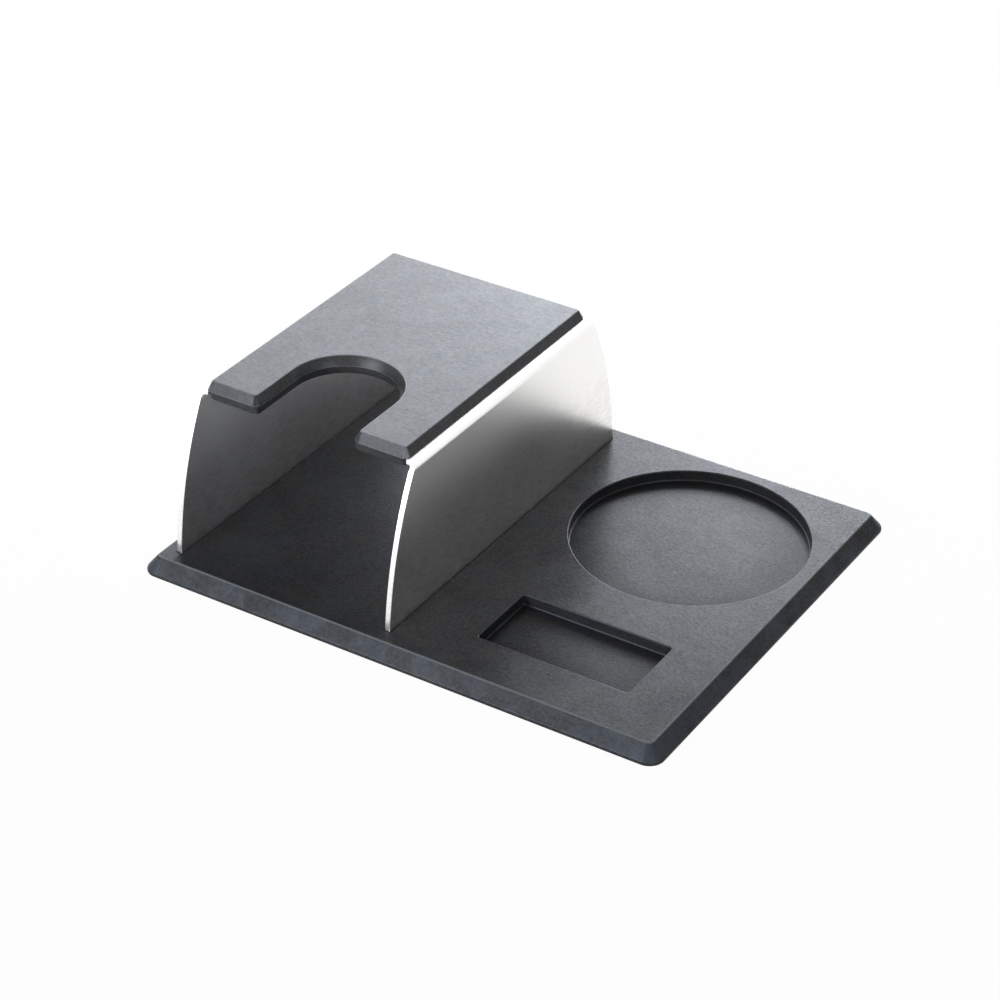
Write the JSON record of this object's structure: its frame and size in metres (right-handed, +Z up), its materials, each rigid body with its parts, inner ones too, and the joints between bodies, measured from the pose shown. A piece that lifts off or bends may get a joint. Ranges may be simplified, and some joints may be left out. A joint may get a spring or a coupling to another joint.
{
  "type": "espresso tamping station",
  "caption": "Rubber station for tamping coffee: a bent steel bridge with a notched pad for a filter holder, beside a round and a rectangular recess.",
  "frame": {"origin": "on the underside of the mat, under the middle of its outline", "axes": "+X to the right along the mat's long front edge, +Y to the back, away from the open side of the notch, +Z up"},
  "size_m": [0.21, 0.17, 0.069],
  "materials": {
    "mat_rubber": "matt moulded rubber, faintly mottled",
    "brushed_steel": "satin brushed stainless sheet with bright cut edges",
    "pad_rubber": "matt moulded rubber, faintly mottled"
  },
  "bodies": {
    "root": {"rubber_mat": "mat_rubber", "steel_bridge": "brushed_steel", "top_pad": "pad_rubber"}
  },
  "joints": []
}
